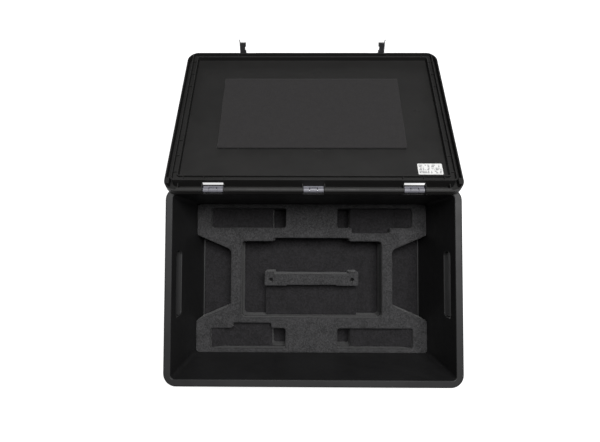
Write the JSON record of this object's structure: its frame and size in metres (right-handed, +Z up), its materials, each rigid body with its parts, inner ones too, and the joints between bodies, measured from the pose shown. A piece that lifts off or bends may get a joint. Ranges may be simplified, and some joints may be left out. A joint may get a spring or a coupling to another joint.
{
  "type": "transport case",
  "caption": "Stackable black plastic transport case with a hinged lid, front latches, end hand holes and a cut foam inlay with fitted pockets.",
  "frame": {"origin": "middle of the case's underside, at the level it stands on", "axes": "+X along the case, +Y towards the hinges, +Z up; the lid is open at rest"},
  "size_m": [0.6, 0.7777, 0.2947],
  "materials": {
    "black_plastic": "satin",
    "inlay_foam": "matte",
    "pad_foam": "matte",
    "label_paper": "matte",
    "grey_clip": "satin",
    "steel_pin": "satin",
    "latch_plastic": "satin",
    "latch_steel": "satin"
  },
  "bodies": {
    "case": {"case_shell": "black_plastic", "foam_base_sheet": "inlay_foam", "foam_lower_layer": "inlay_foam", "foam_upper_layer": "inlay_foam", "foam_center_step": "inlay_foam", "foam_center_bridge": "inlay_foam", "foam_ramp_front_left": "inlay_foam", "foam_ramp_front_right": "inlay_foam", "foam_ramp_back_left": "inlay_foam", "foam_ramp_back_right": "inlay_foam", "hinge_bracket_left": "grey_clip", "hinge_bracket_center": "grey_clip", "hinge_bracket_right": "grey_clip", "hinge_pin_left": "steel_pin", "hinge_pin_center": "steel_pin", "hinge_pin_right": "steel_pin"},
    "lid": {"lid_panel": "black_plastic", "lid_foam_pad": "pad_foam", "lid_label": "label_paper", "hinge_leaf_left": "grey_clip", "hinge_leaf_center": "grey_clip", "hinge_leaf_right": "grey_clip", "latch_bracket_left": "latch_plastic", "latch_bracket_right": "latch_plastic", "latch_pin_left": "steel_pin", "latch_pin_right": "steel_pin"},
    "latch_left": {"latch_arm_left": "latch_plastic", "latch_hook_left": "latch_steel"},
    "latch_right": {"latch_arm_right": "latch_plastic", "latch_hook_right": "latch_steel"}
  },
  "joints": [
    {"name": "lid_hinge", "type": "hinge", "parent": "case", "child": "lid", "pos_m": [0, 0.193, 0.2794], "axis": [1, 0, 0], "range_deg": [0, 207]},
    {"name": "latch_left_pivot", "type": "hinge", "parent": "lid", "child": "latch_left", "pos_m": [-0.168, 0.54736, 0.10041], "axis": [1, 0, 0], "range_deg": [-75, 30]},
    {"name": "latch_right_pivot", "type": "hinge", "parent": "lid", "child": "latch_right", "pos_m": [0.168, 0.54736, 0.10041], "axis": [1, 0, 0], "range_deg": [-75, 30]}
  ]
}
